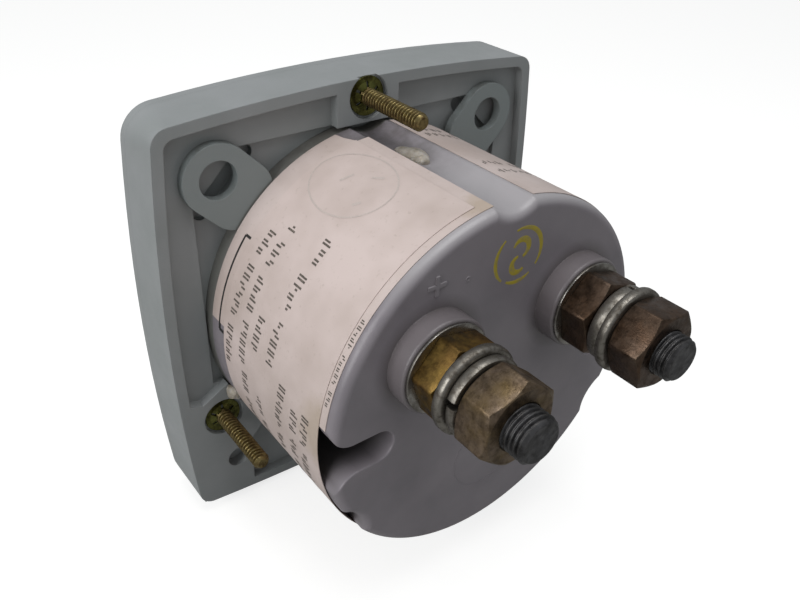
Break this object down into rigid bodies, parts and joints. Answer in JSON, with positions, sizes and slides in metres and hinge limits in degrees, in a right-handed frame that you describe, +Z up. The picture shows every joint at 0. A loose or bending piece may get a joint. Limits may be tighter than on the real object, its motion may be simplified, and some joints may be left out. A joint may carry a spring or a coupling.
{
  "type": "analog panel meter",
  "caption": "Square-faced analog panel meter with a round rear case, threaded mounting studs and two threaded terminals with nuts and washers.",
  "frame": {"origin": "on the axis of the round case, in the plane of the bezel's rear rim, which is the face that meets the panel", "axes": "+Y along the axis of the round case towards the terminals, so the dial faces -Y; +Z is up when the dial is upright; +X is to the right seen from the dial's side"},
  "size_m": [0.0874, 0.0769, 0.0874],
  "materials": {
    "bezel_plastic": "moulded grey plastic, satin",
    "clear_window": "clear, polished",
    "dial_paint": "matt off-white paint on sheet",
    "nickel_steel": "nickel plated",
    "brass_bright": "turned, clean",
    "case_plastic": "moulded grey-purple plastic",
    "zinc_steel": "zinc plated, dulled",
    "yellow_steel": "yellow passivated spring steel",
    "label_paper": "printed paper label, aged",
    "clear_glue": "dried adhesive",
    "soft_iron": "machined",
    "magnet_steel": "ground",
    "coil_aluminium": "thin sheet",
    "winding_copper": "enamelled copper wire",
    "staff_steel": "polished",
    "pointer_aluminium": "black painted thin sheet",
    "spring_bronze": "phosphor bronze strip",
    "adjuster_plastic": "black moulded",
    "soft_brass": "rolled strip",
    "lead_cover": "flexible insulation",
    "tarnished_brass": "tarnished",
    "bright_steel": "bright plated"
  },
  "bodies": {
    "housing": {"front_bezel": "bezel_plastic", "front_frame": "bezel_plastic", "window_lens": "clear_window", "dial_plate": "dial_paint", "dial_screws": "nickel_steel", "pointer_stops": "brass_bright", "rear_case": "case_plastic", "case_screws": "nickel_steel", "mounting_studs": "zinc_steel", "stud_retainers": "yellow_steel", "under_label": "label_paper", "upper_label": "label_paper", "side_label": "label_paper", "glue_dabs": "clear_glue", "return_ring": "soft_iron", "magnet_core": "magnet_steel", "core_supports": "brass_bright", "movement_pillars": "brass_bright", "front_bridge": "brass_bright", "rear_bridge": "brass_bright", "front_posts": "brass_bright", "rear_posts": "brass_bright", "bridge_screws": "nickel_steel", "front_jewel_screw": "brass_bright", "rear_jewel_screw": "brass_bright", "rear_hairspring": "spring_bronze", "rear_spring_stud": "brass_bright", "shunt_strip": "soft_brass", "positive_lead": "lead_cover", "negative_lead": "lead_cover", "positive_terminal_stud": "tarnished_brass", "positive_base_washer": "bright_steel", "positive_inner_nut": "tarnished_brass", "positive_outer_nut": "tarnished_brass", "positive_flat_washer": "zinc_steel", "positive_spring_washer": "zinc_steel", "negative_terminal_stud": "tarnished_brass", "negative_base_washer": "bright_steel", "negative_inner_nut": "tarnished_brass", "negative_outer_nut": "tarnished_brass", "negative_flat_washer": "zinc_steel", "negative_spring_washer": "zinc_steel"},
    "moving_coil": {"coil_former": "coil_aluminium", "coil_winding": "winding_copper", "front_staff": "staff_steel", "rear_staff": "staff_steel", "pointer": "pointer_aluminium", "balance_arms": "pointer_aluminium", "balance_weights": "brass_bright", "spring_collets": "brass_bright"},
    "zero_lever_arm": {"zero_lever": "brass_bright", "front_hairspring": "spring_bronze"},
    "zero_adjuster_screw": {"zero_adjuster": "adjuster_plastic"}
  },
  "joints": [
    {"name": "pointer_swing", "type": "hinge", "parent": "housing", "child": "moving_coil", "pos_m": [0, 0, -0.014], "axis": [0, 1, 0], "range_deg": [-1.5, 91.5], "stiffness_Nm_per_rad": 0.002},
    {"name": "zero_adjuster_turn", "type": "hinge", "parent": "housing", "child": "zero_adjuster_screw", "pos_m": [0, 0, -0.03], "axis": [0, 1, 0], "range_deg": [-36, 36]},
    {"name": "zero_lever_turn", "type": "hinge", "parent": "housing", "child": "zero_lever_arm", "pos_m": [0, 0, -0.014], "axis": [0, 1, 0], "range_deg": [-2.7, 2.7]}
  ],
  "couplings": [
    {"joint": "zero_adjuster_turn", "follows": "zero_lever_turn", "ratio": -12.8}
  ]
}
